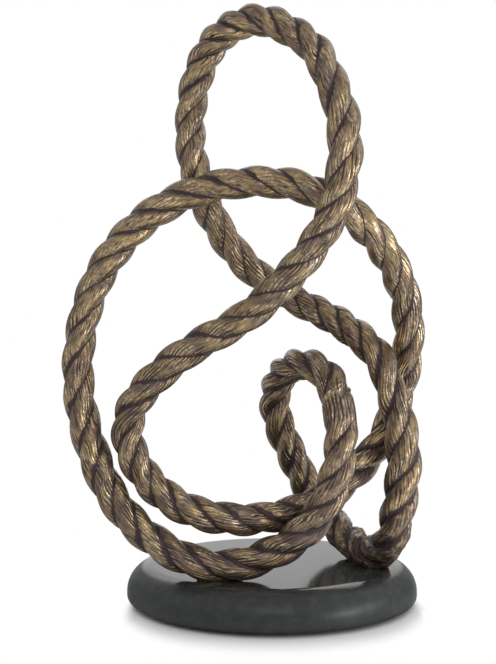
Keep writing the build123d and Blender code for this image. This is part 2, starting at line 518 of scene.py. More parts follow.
@dataclass
class RopeKnot:
    """The endless cast rope: one closed mesh for each of its lengths."""

    radius: float = ROPE_DIAMETER / 2
    strands: int = 3
    groove_ratio: float = 0.74
    bent_groove_ratio: float = 0.66
    tight_bend: float = 0.4
    first_angle: float = math.radians(1.0)
    rest_height: float = 0.0395
    seat_grip: float = 0.0006
    seat_height: float = 0.030
    rub_heights: Pair = (0.045, 0.095)
    # Heights over which the painted shade near the base fades out
    base_shade_heights: Pair = (0.06, 0.18)
    # Side of the key light: flanks facing it get painted highlight, flanks turned away painted
    # shade
    light_side: Vector = (0.75, 0.0, -0.66)
    samples: int = 5000
    row_pitch: float = 0.0006
    columns: int = 72
    yarn: YarnRelief = field(default_factory=YarnRelief)
    wear: RopeWear = field(default_factory=RopeWear)
    weld: WeldSeam = field(default_factory=WeldSeam)
    filling: FilledGrooves = field(default_factory=FilledGrooves)
    pieces: list[Object] = field(default_factory=list)

    def build(self) -> None:
        """Make every rope length and set it in place of its node."""
        stations = np.array([s for length in ROPE_LENGTHS for s in length.stations])
        points = stations * ROPE_DIAMETER + np.array([0.0, 0.0, self.rest_height])
        self.line = RopeLine(points)
        self.lay = RopeLay(self.line, ROPE_LENGTHS, self.strands)
        self.noises = {which: SmoothNoise(self.yarn.seed + which.value) for which in Noise}
        self._lay_yarns()
        for index, length in enumerate(ROPE_LENGTHS):
            piece = self._build_length(index, "cast_" + length.node)
            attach(piece, BODY)
            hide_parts(length.node)
            self.pieces.append(piece)
            log.info("%s: %d faces", piece.name, len(piece.data.polygons))

    def dress(self, finish: Material) -> None:
        """Give every length the rope's finish."""
        for piece in self.pieces:
            piece.data.materials.append(finish)

    def _lay_yarns(self) -> None:
        """Find, along the loop, how far the yarns slide across their strands and what wear is met.

        The yarns slide less where the rope bends. It also finds the painted shade near the base.
        """
        self.places = np.linspace(0.0, self.line.length, self.samples)
        opened = smooth_step(0.0, self.tight_bend, self._bend(self.places))
        lean = self.yarn.lean + (self.yarn.bent_lean - self.yarn.lean) * opened
        turn = self.lay.turn(self.places, self.first_angle)
        steps = self.radius * np.diff(turn) * (lean[1:] + lean[:-1]) / 2
        self.slides = np.concatenate(([0.0], np.cumsum(steps)))
        middles = (self.lay.joints[1:] + self.lay.joints[:-1]) / 2
        unrubbed = np.interp(self.places, middles, [length.unrubbed for length in ROPE_LENGTHS])
        height = self.line.at(self.places)[0][:, 2]
        self.unrubbed = unrubbed * (1 - smooth_step(*self.rub_heights, height))
        self.smooth = np.interp(self.places, middles, [length.smooth for length in ROPE_LENGTHS])
        # Painted shade that darkens the rope towards the base
        self.base_shade = 1 - smooth_step(*self.base_shade_heights, height)

    def _noise(self, which: Noise, first: Array, second: Array) -> Array:
        """One noise field at places given in cells."""
        return self.noises[which].at(first, second)

    def _strand_grid(self) -> tuple[Array, Array]:
        """Number the columns round the rope.

        Returns:
            Strand number of each column and its side on the strand, from -1 to 1.
        """
        column = np.arange(self.strands * self.columns)
        share = (column % self.columns) / self.columns
        return (column // self.columns).astype(float)[None, :], (2 * share - 1)[None, :]

    def _strand_shape(self, bend: Array) -> tuple[Array, Array, Array]:
        """Outline of a strand, whose grooves open where the rope bends.

        Args:
            bend: Curvature of the rope times its radius, one row each.

        Returns:
            The strand's middle and its bulge, as shares of the rope's radius, and the
            angle about that middle at which it meets the next strand.
        """
        opened = smooth_step(0.0, self.tight_bend, bend)[:, None]
        ratio = self.groove_ratio + (self.bent_groove_ratio - self.groove_ratio) * opened
        middle = (1 - ratio**2) / (2 - ratio)
        half = math.pi / self.strands
        widest = np.arctan2(ratio * math.sin(half), ratio * math.cos(half) - middle)
        return middle, 1 - middle, widest

    def _yarn_edges(self, across: Array, strand: Array) -> tuple[Array, Array]:
        """Place of each point between the uneven edges of its yarn.

        Args:
            across: Distance across the yarns, in yarn pitches.
            strand: Strand number, which seeds the edges.

        Returns:
            The share of the way across the yarn, and the nearer edge's number.
        """
        table, size = self.noises[Noise.EDGE].table, SmoothNoise.SIZE
        first = strand.astype(int) * self.yarn.edge_step

        def edge(number: Array) -> Array:
            """Place of one yarn edge."""
            lean = table[number % size, (first + number // size) % size]
            return number + self.yarn.jitter * (2 * lean - 1)

        number = np.floor(across).astype(int)
        number = number - (across < edge(number)) + (across >= edge(number + 1))
        low, high = edge(number), edge(number + 1)
        share = np.clip((across - low) / (high - low), 0.0, 1.0)
        return share, number + (share > 0.5)

    def _relief(self, along: Array, arc: Array, lit: Array) -> tuple[Array, Skin]:
        """Relief of the strands' surface.

        Args:
            along: Distances along the loop, one row each.
            arc: Distance across the strand from its crest, by row and column.
            lit: How far each flank turns toward the key light, from -1 to 1; it paints highlight
            on the flanks that face the light and shade on those turned away.

        Returns:
            Height of the relief in metres, and the surface as the wear needs it.
        """
        yarn = self.yarn
        strand, side = self._strand_grid()
        slide = np.interp(along, self.places, self.slides)[:, None]
        filled = self._filled(along)
        along, lane, reach = along[:, None], strand * yarn.lane_step, np.abs(side)
        wander = self._noise(Noise.WANDER, along / yarn.wander_cell, lane + 2 * side)
        across = arc + slide + yarn.wander * (2 * wander - 1)
        share, edge = self._yarn_edges(across / yarn.pitch, strand)
        off_ridge = np.abs(2 * share - 1)
        unrubbed = np.interp(along, self.places, self.unrubbed)
        smooth = np.interp(along, self.places, self.smooth)

        fade = self._noise(Noise.FADE, along / yarn.fade_cell, edge * yarn.fade_step + lane)
        fade = fade * (1 - yarn.fade_smooth * smooth)
        lined = filled * rise(yarn.fade_filled, fade)
        fade = np.maximum(fade, np.maximum(lined, yarn.fade_unrubbed * unrubbed))
        shown = rise(yarn.shown, smooth_step(*yarn.shown_range, fade))
        gouged = smooth_step(*yarn.gouge_range, fade)
        pits = self._noise(Noise.PIT, along / yarn.pit_cell, across / yarn.pit_cell + lane)
        pits = smooth_step(*yarn.pit_range, pits)
        depth = yarn.depth * shown * (1 - yarn.depth_smooth * smooth) + yarn.gouge * gouged
        height = -off_ridge**yarn.roundness * depth - yarn.pit * pits

        length, width = yarn.scratch_cells
        rising = self._noise(Noise.PIT, (along + across) / length, (across - along) / width + lane)
        falling = self._noise(Noise.PIT, (along - across) / length, (across + along) / width - lane)
        scratched = unrubbed * smooth_step(*yarn.scratch_range, np.maximum(rising, falling))
        knobs = self._noise(Noise.KNOB, along / yarn.knob_cell, across / yarn.knob_cell + lane)
        swell = self._noise(Noise.SWELL, along / yarn.swell_cell, lane)
        height = (height * (1 - yarn.depth_unrubbed * unrubbed) + yarn.scratch * scratched
                  + yarn.swell * (swell - yarn.swell_middle)
                  + yarn.knob * unrubbed * (knobs - 0.5))
        height = height * (1 - smooth_step(*yarn.edge_range, reach))
        return height, Skin(along, across, arc, lane, np.sign(side), reach, lit, off_ridge, shown,
                            gouged, pits, scratched, unrubbed, smooth)

    def _grooves(self, skin: Skin, base_shade: Array) -> Array:
        """Dark grooves between the strands, which spread in patches over the flanks.

        Args:
            skin: Surface of the strands.
            base_shade: Share of painted shade near the base, one row each.

        Returns:
            Share of dark by row and column.
        """
        wear = self.wear
        hollow = np.abs(skin.arc).max(axis=1, keepdims=True) - np.abs(skin.arc)
        flank = skin.lane + wear.patch_step * skin.flank
        patch = self._noise(Noise.PATCH, skin.along / wear.patch_cell, flank)
        # Patches are partly patina, partly painted shade: wider turned away from the key light and
        # near the base
        toward_light = rise(wear.shade_patch_lit, skin.smooth) * skin.lit
        patch = smooth_step(*wear.patch_range, patch + wear.patch_base_shade * base_shade - toward_light)
        length, width = wear.ragged_cells
        ragged = self._noise(Noise.PATCH, skin.along / length, skin.across / width + skin.lane)
        dark = wear.groove + (wear.patch - wear.groove) * patch
        return 1 - smooth_step(*wear.groove_range, hollow / (dark * rise(wear.ragged, ragged)))

    def _masks(self, skin: Skin) -> dict[Mask, Array]:
        """Dark and rubbed places of the strands.

        Args:
            skin: Surface of the strands.

        Returns:
            The masks by row and column.
        """
        wear = self.wear
        base_shade = np.interp(skin.along, self.places, self.base_shade)
        groove = self._grooves(skin, base_shade)
        line = smooth_step(*wear.line_range, skin.off_ridge)
        flank = smooth_step(*wear.line_flank_range, skin.reach)
        line = line * (wear.line_shown * skin.shown + wear.line_gouged * skin.gouged
                       + wear.line_flank * flank)
        line = line * (1 - wear.line_smooth * skin.smooth)
        line = line * (1 - wear.line_unrubbed * skin.unrubbed)
        cavity = np.maximum(np.maximum(groove, line), wear.pit * skin.pits)

        length, width = wear.worn_cells
        worn = self._noise(Noise.WEAR, skin.along / length, skin.across / width + skin.lane)
        # Rubbed bright crests, plus painted highlight on the flanks turned toward the key light
        toward_light = rise(wear.highlight_lit, skin.smooth) * skin.lit * rise(wear.highlight_reach, skin.reach)
        ridge = 1 - smooth_step(*wear.rub_range, skin.off_ridge)
        rub = ridge * (1 - groove) * smooth_step(*wear.worn_range, worn + toward_light)
        rub = rub * (1 - wear.rub_unrubbed * skin.unrubbed) + wear.rub_scratch * skin.scratched

        length, width = wear.blotch_cells
        blotch = self._noise(Noise.WEAR, skin.along / length, skin.across / width)
        # Painted shade near the base, stronger on flanks turned away from the key light
        from_light = blotch - wear.base_shade_lit * skin.lit * skin.reach
        painted_base_shade = base_shade * rise(wear.base_shade_lines, skin.off_ridge) * smooth_step(*wear.base_shade_range, from_light)
        flank = smooth_step(*wear.tarnish_flank_range, skin.reach)
        tarnish = skin.unrubbed * (rise(wear.tarnish, blotch) + wear.tarnish_flank * flank)
        tarnish = tarnish * (1 - wear.tarnish_scratch * skin.scratched)
        # Painted shade: flanks of smooth lengths turned away from the key light are darkened
        from_light = wear.painted_shade_blotch * (blotch - 0.5) - skin.lit * skin.reach
        upper = wear.upper * skin.smooth * smooth_step(*wear.painted_shade_range, from_light)
        cavity = np.maximum(np.maximum(cavity, upper), np.maximum(tarnish, painted_base_shade))
        lay = np.stack(np.broadcast_arrays(skin.across, skin.along, skin.lane), axis=-1)
        return {Mask.CAVITY: cavity, Mask.RUB: rub, Mask.LAY: lay}

    def _bead(self, along: Array, strand: Array, side: Array) -> tuple[Array, Array, Array]:
        """Weld bead across the rope.

        Args:
            along: Distances along the loop, one row each.
            strand: Strand number of each column.
            side: Side of each column on its strand.

        Returns:
            Height of the bead in metres, its cover from 0 to 1, and the dark line at its foot.
        """
        weld, along = self.weld, along[:, None]
        angle = (strand + side / 2) * 2 * math.pi / self.strands
        joint = self.lay.joints[weld.joint]
        turn = self.lay.turn(np.array([joint]), self.first_angle)
        middle = joint + weld.slant * np.sin(angle + turn)
        girth = angle * self.radius
        ragged = self._noise(Noise.KNOB, along / weld.ragged_cell,
                             girth / weld.ragged_cell + weld.ragged_shift)
        off = (along - middle) / weld.half_width + weld.ragged * (ragged - 0.5)
        lumps = self._noise(Noise.KNOB, along / weld.lump_cell, girth / weld.lump_cell)
        cover = np.exp(-off**4)
        foot = np.exp(-((np.abs(off) - weld.foot_place) / weld.foot_width)**2)
        foot = foot * smooth_step(*weld.foot_range, ragged)
        return weld.height * cover * smooth_step(*weld.lump_range, lumps), cover, foot

    def _filled(self, along: Array) -> Array:
        """Share by which the grooves are filled just below the weld, one row each."""
        off = along - self.lay.joints[self.weld.joint] + self.filling.below
        return self.filling.share * np.exp(-(off / self.filling.half_length)**4)[:, None]

    def _straight_lines(self, along: Array, around: Array) -> tuple[Array, Array]:
        """Lines that run along the rope where its grooves are filled.

        Args:
            along: Distances along the loop, one row each.
            around: Angle about the rope's axis, by row and column.

        Returns:
            Nearness to a line and how deep the line is there, both from 0 to 1.
        """
        filling, along, wave = self.filling, along[:, None], np.sin(around)
        count = round(filling.line_density * math.pi * self.radius / self.yarn.pitch)
        wander = self._noise(Noise.WANDER, along / filling.wander_cell, filling.wander_step * wave)
        place = around * count / (2 * math.pi) + filling.wander * wander
        fade = self._noise(Noise.FADE, along / filling.fade_cell, filling.fade_step * wave)
        return np.abs(2 * (place % 1.0) - 1), smooth_step(*filling.fade_range, fade)

    def _surface(self, along: Array) -> tuple[Array, dict[Mask, Array]]:
        """Points and masks of the rope's surface.

        Args:
            along: Distances along the loop, one row each.

        Returns:
            Points by row and column, and the masks.
        """
        place, ahead = self.line.at(along)
        facing = np.array([0.0, -1.0, 0.0])
        forward = facing - ahead * (ahead @ facing)[:, None]
        forward /= np.linalg.norm(forward, axis=1, keepdims=True)
        turn = self.lay.turn(along, self.first_angle)
        sideways = np.cross(ahead, forward)
        crest = forward * np.cos(turn)[:, None] + sideways * np.sin(turn)[:, None]
        beside = np.cross(ahead, crest)

        strand, side = self._strand_grid()
        middle, bulge, widest = self._strand_shape(self._bend(along))
        psi = side * widest
        angle = strand * 2 * math.pi / self.strands
        # How far each flank faces the key light's side, used to paint highlight and shade on the
        # flanks
        lit = (np.outer(beside @ self.light_side, np.cos(angle))
               - np.outer(crest @ self.light_side, np.sin(angle))) * np.sign(side)
        height, skin = self._relief(along, self.radius * bulge * psi, lit)
        bead, cover, foot = self._bead(along, strand, side)
        radius = self.radius * np.interp(along, *np.transpose(FULLNESS))[:, None]
        swell = radius * bulge + height + bead
        out = radius * middle + swell * np.cos(psi)
        over = swell * np.sin(psi)
        on_crest = out * np.cos(angle) - over * np.sin(angle)
        on_side = out * np.sin(angle) + over * np.cos(angle)

        filling, filled, masks = self.filling, self._filled(along), self._masks(skin)
        around = np.arctan2(on_side, on_crest) + turn[:, None]
        near, deep = self._straight_lines(along, around)
        lined = radius - filling.sink - filling.line_depth * near**self.yarn.roundness * deep
        scale = 1 + filled * (lined / np.hypot(on_crest, on_side) - 1)
        on_crest, on_side = on_crest * scale, on_side * scale
        dark = smooth_step(*filling.dark_range, near) * rise(filling.dark, deep)
        cavity = (masks[Mask.CAVITY] * (1 - filled) + dark * filled) * (1 - cover)
        masks[Mask.CAVITY] = np.maximum(cavity, self.weld.foot_dark * foot)
        ridge = 1 - smooth_step(*filling.rub_range, near)
        rub = masks[Mask.RUB] * (1 - filled) + filling.rub * filled * ridge
        on_bead = self.weld.rub * cover * smooth_step(0.0, self.weld.height, bead)
        masks[Mask.RUB] = np.maximum(rub, on_bead)
        points = place[:, None] + crest[:, None] * on_crest[..., None]
        points = points + beside[:, None] * on_side[..., None]
        low = points[..., 2] < self.seat_height + self.seat_grip
        points[..., 2] = np.where(low, self.seat_height, points[..., 2])
        return points, masks

    def _bend(self, along: Array) -> Array:
        """Bend of the rope.

        Args:
            along: Distances along the loop.

        Returns:
            Curvature of the rope times its radius.
        """
        step = self.radius / 2
        before, after = self.line.at(along - step)[1], self.line.at(along + step)[1]
        return np.linalg.norm(after - before, axis=1) * self.radius / (2 * step)

    def _build_length(self, index: int, name: str) -> Object:
        """Make one rope length as a closed mesh with its masks and bake map.

        Args:
            index: Which rope length.
            name: Name of the piece.

        Returns:
            The new object, linked to the scene.
        """
        start, end = self.lay.joints[index], self.lay.joints[index + 1]
        rows = math.ceil((end - start) / self.row_pitch) + 1
        along = np.linspace(start, end, rows)
        points, masks = self._surface(along)
        columns = points.shape[1]
        flat = np.concatenate((points.reshape(-1, 3), points[0], points[-1],
                               points[[0, -1]].mean(axis=1)))
        rim = rows * columns

        row, column = np.meshgrid(np.arange(rows - 1), np.arange(columns), indexing="ij")
        beside = (column + 1) % columns
        quads = np.stack((row * columns + column, row * columns + beside,
                          (row + 1) * columns + beside, (row + 1) * columns + column), axis=-1)
        ring, next_ring = np.arange(columns), (np.arange(columns) + 1) % columns
        top, hub = rim + columns, rim + 2 * columns
        caps = np.concatenate((
            np.stack((rim + next_ring, rim + ring, np.full(columns, hub)), axis=-1),
            np.stack((top + ring, top + next_ring, np.full(columns, hub + 1)), axis=-1)))
        mesh = bpy.data.meshes.new(name)
        self._fill_mesh(mesh, flat, quads.reshape(-1, 4), caps)
        for mask, values in masks.items():
            self._add_mask(mesh, mask, values.reshape(rim, -1))
        self._add_bake_map(mesh, rows, columns, row, column)
        return new_object(name, mesh)

    @staticmethod
    def _fill_mesh(mesh: Mesh, points: Array, quads: Array, caps: Array) -> None:
        """Put points, smooth quads and flat caps into a mesh.

        Args:
            mesh: Empty mesh.
            points: Points, one row each.
            quads: Corners of the skin's quads.
            caps: Corners of the ends' triangles.
        """
        loops = np.concatenate((quads.ravel(), caps.ravel()))
        starts = np.concatenate((4 * np.arange(len(quads)), quads.size + 3 * np.arange(len(caps))))
        mesh.vertices.add(len(points))
        mesh.vertices.foreach_set("co", points.ravel())
        mesh.loops.add(len(loops))
        mesh.loops.foreach_set("vertex_index", loops)
        mesh.polygons.add(len(starts))
        mesh.polygons.foreach_set("loop_start", starts)
        mesh.polygons.foreach_set("use_smooth", np.arange(len(starts)) < len(quads))
        mesh.update(calc_edges=True)
        mesh.validate()

    @staticmethod
    def _add_mask(mesh: Mesh, mask: Mask, values: Array) -> None:
        """Store one mask on the mesh's vertices, with nothing on its ends.

        Args:
            mesh: Mesh of the rope length.
            mask: Which mask.
            values: Numbers or vectors, one row for each vertex of the skin.
        """
        filled = np.zeros((len(mesh.vertices), values.shape[1]))
        filled[:len(values)] = values
        kind, name = ("FLOAT", "value") if values.shape[1] == 1 else ("FLOAT_VECTOR", "vector")
        attribute = mesh.attributes.new(mask.value, kind, "POINT")
        attribute.data.foreach_set(name, filled.ravel())

    @staticmethod
    def _add_bake_map(mesh: Mesh, rows: int, columns: int, row: Array,
                      column: Array) -> None:
        """Lay the rope's skin out flat, with its two ends in the strip above.

        Args:
            mesh: Mesh whose loops are quads first, then the two caps.
            rows: Rows of points along the rope.
            columns: Columns of points round it.
            row: Row of each quad.
            column: Column of each quad.
        """
        left, right = column / columns, (column + 1) / columns
        low, high = row / (rows - 1) * BAKE_SKIN, (row + 1) / (rows - 1) * BAKE_SKIN
        quads = np.stack((left, low, right, low, right, high, left, high), axis=-1)
        turn = np.arange(columns) * 2 * math.pi / columns
        after = turn + 2 * math.pi / columns
        caps = []
        for spot in BAKE_CAPS:
            rim = [np.array(spot) + BAKE_CAP_RADIUS * np.stack((np.cos(at), np.sin(at)), axis=-1)
                   for at in (turn, after)]
            caps.append(np.concatenate((*rim, np.tile(spot, (columns, 1))), axis=-1))
        layer = mesh.uv_layers.new(name=BAKE_MAP)
        layer.data.foreach_set("uv", np.concatenate((quads.ravel(), np.concatenate(caps).ravel())))


class Sheet:
    """Adds and links shader nodes in one node tree. A source is a socket or a plain value."""

    def __init__(self, tree: NodeTree) -> None:
        """Start on one tree."""
        self.tree = tree

    def add(self, kind: str, sources: Sources | None = None, **settings: object) -> Node:
        """Add a node, set it and feed it.

        Args:
            kind: Node type without its ShaderNode prefix.
            sources: Sources by the name or number of their input.
            settings: Properties of the node by name.

        Returns:
            The new node.
        """
        node = self.tree.nodes.new("ShaderNode" + kind)
        for name, value in settings.items():
            setattr(node, name, value)
        self.feed(node, sources or {})
        return node

    def feed(self, node: Node, sources: Sources) -> None:
        """Link sockets to a node's inputs, or set the inputs to plain values.

        Args:
            node: Node to feed.
            sources: Sources by the name or number of their input.
        """
        for name, source in sources.items():
            if isinstance(source, NodeSocket):
                self.tree.links.new(source, node.inputs[name])
            else:
                node.inputs[name].default_value = source

    def math(self, operation: str, first: object, second: object = 0.0) -> NodeSocket:
        """Sum, product or the like of two sources, held from 0 to 1."""
        sources = {0: first, 1: second}
        return self.add("Math", sources, operation=operation, use_clamp=True).outputs[0]

    def vector(self, operation: str, *vectors: object) -> NodeOutputs:
        """Sum, product or the like of vectors: the outputs Vector and Value."""
        return self.add("VectorMath", dict(enumerate(vectors)), operation=operation).outputs

    def span(self, *values: object) -> NodeSocket:
        """Source eased from low and high to start and end, in that order, or to 0 and 1."""
        sources = dict(enumerate(values))
        return self.add("MapRange", sources, interpolation_type="SMOOTHSTEP").outputs[0]

    def mix(self, share: object, first: object, second: object) -> NodeSocket:
        """Colour between two colours."""
        sources = {"Factor": share, MIX_FIRST: first, MIX_SECOND: second}
        return self.add("Mix", sources, data_type="RGBA").outputs[MIX_RESULT]

    def noise(self, place: object, scale: object, **values: float) -> NodeSocket:
        """Noise texture at a place, with its other inputs by name."""
        return self.add("TexNoise", {"Vector": place, "Scale": scale, **values}).outputs[0]

    def place(self, kind: str = "Object") -> NodeSocket:
        """Coordinates of the point that is shaded."""
        return self.add("TexCoord").outputs[kind]

    def axes(self, source: object) -> NodeOutputs:
        """X, Y and Z of a vector."""
        return self.add("SeparateXYZ", {0: source}).outputs

    def mask(self, mask: Mask, output: str = "Fac") -> NodeSocket:
        """One of the masks that the mesh carries."""
        return self.add("Attribute", attribute_name=mask.value).outputs[output]

    def group(self, tree: NodeTree, **values: object) -> NodeOutputs:
        """Outputs of a shared effect that is given its own values."""
        return self.add("Group", values, node_tree=tree).outputs

    def bump(self, height: object, strength: float, depth: float) -> NodeSocket:
        """Normal bent by a height that goes as deep as this, in metres."""
        sources = {"Strength": strength, "Distance": depth, "Height": height}
        return self.add("Bump", sources).outputs[0]

    def camera(self) -> NodeSocket:
        """1 for rays from the camera."""
        return self.add("LightPath").outputs["Is Camera Ray"]

    def seen(self) -> NodeSocket:
        """Tell rays that show the background from those that only light.

        Returns:
            1 for rays from the camera, a gloss or a glass.
        """
        path = self.add("LightPath").outputs
        seen = self.math("MAXIMUM", path["Is Camera Ray"], path["Is Glossy Ray"])
        return self.math("MAXIMUM", seen, path["Is Transmission Ray"])


class SharedEffects:
    """Node groups that more than one finish uses."""

    def __init__(self) -> None:
        """Build each group once."""
        self.mottle = self._mottle()
        self.grain = self._grain()

    @staticmethod
    def _start(name: str, inputs: dict[str, float], outputs: tuple[str, ...],
               ) -> tuple[Sheet, NodeOutputs, Node]:
        """Start a group with named float sockets.

        Args:
            name: Name of the group.
            inputs: Input sockets and their first values.
            outputs: Output sockets.

        Returns:
            The group's sheet, what it is given, and the node that takes what it makes.
        """
        tree = bpy.data.node_groups.new(name, "ShaderNodeTree")
        kind = "NodeSocketFloat"
        for label, value in inputs.items():
            socket = tree.interface.new_socket(label, in_out="INPUT", socket_type=kind)
            socket.default_value = value
        for label in outputs:
            tree.interface.new_socket(label, in_out="OUTPUT", socket_type=kind)
        given = tree.nodes.new("NodeGroupInput").outputs
        return Sheet(tree), given, tree.nodes.new("NodeGroupOutput")

    def _mottle(self) -> NodeTree:
        """Soft uneven patches.

        Returns:
            The group, whose mask goes from 0 to 1.
        """
        values = {"Scale": 40.0, "Low": 0.4, "High": 0.6}
        sheet, given, made = self._start("Mottle", values, ("Mask",))
        noise = sheet.noise(sheet.place(), given["Scale"], Detail=5.0, Roughness=0.6)
        sheet.feed(made, {"Mask": sheet.span(noise, given["Low"], given["High"])})
        return sheet.tree

    def _grain(self) -> NodeTree:
        """Fine specks or pits.

        Returns:
            The group, which gives a height for bump and a mask of the specks.
        """
        core_range = (0.45, 0.15)
        values = {"Scale": 900.0, "Share": 0.3}
        sheet, given, made = self._start("Grain", values, ("Height", "Specks"))
        place = sheet.place()
        sources = {"Vector": place, "Scale": given["Scale"]}
        cells = sheet.add("TexVoronoi", sources, feature="F1").outputs
        chosen = sheet.add("SeparateColor", {0: cells["Color"]}).outputs[0]
        kept = sheet.math("LESS_THAN", chosen, given["Share"])
        core = sheet.span(cells["Distance"], *core_range)
        specks = sheet.math("MULTIPLY", kept, core)
        noise = sheet.noise(place, given["Scale"], Detail=3.0)
        sheet.feed(made, {"Height": sheet.math("SUBTRACT", noise, specks), "Specks": specks})
        return sheet.tree


def new_material(name: str) -> tuple[Material, Sheet, Node]:
    """Start a material.

    Args:
        name: Name of the material.

    Returns:
        The material, its node sheet and its shader.
    """
    material = bpy.data.materials.new(name)
    material.use_nodes = True
    sheet = Sheet(material.node_tree)
    return material, sheet, material.node_tree.nodes["Principled BSDF"]


@dataclass(frozen=True)
class AntiqueBrass:
    """Brass-coloured casting, dark in the grooves and rubbed bright on the crests.

    Its masks also paint highlight and shade, and edges seen at a slant get a painted sheen.
    A pair that is no range is the value on clean metal and the value where it is dark or rubbed.
    """

    shade: Colour = (0.222, 0.150, 0.114, 1.0)
    tone: Colour = (0.462, 0.320, 0.150, 1.0)
    # Rubbed brass, also laid where highlight is painted on the flanks
    bright: Colour = (1.0, 0.81, 0.50, 1.0)
    patina: Colour = (0.062, 0.041, 0.043, 1.0)
    # Painted sheen: grey colour on edges seen at a slant, standing in for grazing reflection
    grazing_sheen: Colour = (0.28, 0.226, 0.19, 1.0)
    grazing_sheen_range: Pair = (0.32, 0.75)
    grazing_sheen_share: float = 0.82
    speck_dark: float = 0.3
    streak_dark: float = 0.8
    streak_range: Pair = (0.47, 0.65)
    streak_scale: Vector = (1300.0, 130.0, 1.0)
    cavity_and_shade_range: Pair = (0.1, 0.8)
    metallic: Pair = (0.94, 0.75)
    roughness: Pair = (0.33, 0.22)
    rubbed_full: float = 0.8
    dark_roughness: float = 0.25
    lacquer: Pair = (0.7, 0.35)
    lacquer_satin: float = 0.3
    bump: float = 0.2
    bump_depth: float = 0.0002

    def material(self, effects: SharedEffects) -> Material:
        """Build the material.

        Args:
            effects: The shared node groups.

        Returns:
            The material.
        """
        material, sheet, shader = new_material("antique_brass")
        broad = sheet.group(effects.mottle, Scale=70.0, Low=0.35, High=0.65)["Mask"]
        close = sheet.group(effects.mottle, Scale=420.0, Low=0.35, High=0.68)["Mask"]
        grain = sheet.group(effects.grain, Scale=1100.0, Share=0.22)
        yarns = sheet.vector("MULTIPLY", sheet.mask(Mask.LAY, "Vector"), self.streak_scale)
        streaks = sheet.span(sheet.noise(yarns["Vector"], 1.0, Detail=2.0), *self.streak_range)
        streaks = sheet.math("MULTIPLY", streaks, self.streak_dark)

        # Rubbed brass and painted highlight, both from the rub mask
        rubbed = sheet.math("MULTIPLY", sheet.mask(Mask.RUB), close)
        metal = sheet.mix(rubbed, sheet.mix(broad, self.shade, self.tone), self.bright)
        # Painted reflection: edges seen at a slant are tinted grey, as grazing gloss would show
        facing = sheet.add("LayerWeight").outputs["Facing"]
        edge = sheet.span(facing, *self.grazing_sheen_range, 0.0, self.grazing_sheen_share)
        metal = sheet.mix(edge, metal, self.grazing_sheen)
        specks = sheet.math("MULTIPLY", grain["Specks"], self.speck_dark)
        marks = sheet.math("MAXIMUM", specks, streaks)
        # Patina in hollows, plus painted shade from the rope's masks
        cavity = sheet.span(sheet.mask(Mask.CAVITY), *self.cavity_and_shade_range)
        dark = sheet.math("MAXIMUM", cavity, marks)
        rough = sheet.math("ADD", sheet.span(rubbed, 0.0, self.rubbed_full, *self.roughness),
                           sheet.span(dark, 0.0, 1.0, 0.0, self.dark_roughness))
        bumps = sheet.math("SUBTRACT", grain["Height"], streaks)
        sheet.feed(shader, {
            "Base Color": sheet.mix(dark, metal, self.patina),
            "Metallic": sheet.span(dark, 0.0, 1.0, *self.metallic),
            "Roughness": rough,
            "Coat Weight": sheet.span(dark, 0.0, 1.0, *self.lacquer),
            "Coat Roughness": self.lacquer_satin,
            "Normal": sheet.bump(bumps, self.bump, self.bump_depth)})
        return material


@dataclass(frozen=True)
class DarkStone:
    """Dark greenish stone with a polished top and a satin rim.

    The satin ends at one height in metres and the polish starts at the next.
    """

    ground: Colour = (0.0245, 0.0262, 0.0262, 1.0)
    cloud: Colour = (0.034, 0.0366, 0.0366, 1.0)
    speck: Colour = (0.07, 0.085, 0.08, 1.0)
    polish_heights: Pair = (0.0270, 0.0298)
    roughness: Pair = (0.34, 0.09)
    uneven: float = 0.05
    top_gloss: float = 0.5
    rim_gloss: Pair = (0.38, 0.04)
    rim_range: Pair = (0.2, 0.75)
    ior: float = 1.5
    bump: float = 0.06
    bump_depth: float = 0.0001

    def material(self, effects: SharedEffects) -> Material:
        """Build the material.

        Args:
            effects: The shared node groups.

        Returns:
            The material.
        """
        material, sheet, shader = new_material("dark_stone")
        clouds = sheet.group(effects.mottle, Scale=130.0, Low=0.4, High=0.66)["Mask"]
        uneven = sheet.group(effects.mottle, Scale=160.0, Low=0.3, High=0.7)["Mask"]
        grain = sheet.group(effects.grain, Scale=700.0, Share=0.12)
        specks = sheet.math("MULTIPLY", grain["Specks"], clouds)
        height = sheet.axes(sheet.place())["Z"]
        satin = sheet.span(height, *self.polish_heights, *self.roughness)
        polished = sheet.span(height, *self.polish_heights)
        facing = sheet.add("LayerWeight").outputs["Facing"]
        rim = sheet.span(facing, *self.rim_range, *self.rim_gloss)
        more = sheet.math("MULTIPLY", polished, sheet.math("SUBTRACT", self.top_gloss, rim))
        ground = sheet.mix(clouds, self.ground, self.cloud)
        uneven = sheet.math("MULTIPLY", uneven, self.uneven)
        sheet.feed(shader, {
            "Base Color": sheet.mix(specks, ground, self.speck),
            "Roughness": sheet.math("ADD", satin, uneven),
            "Specular IOR Level": sheet.math("ADD", rim, more),
            "IOR": self.ior,
            "Normal": sheet.bump(grain["Height"], self.bump, self.bump_depth)})
        return material


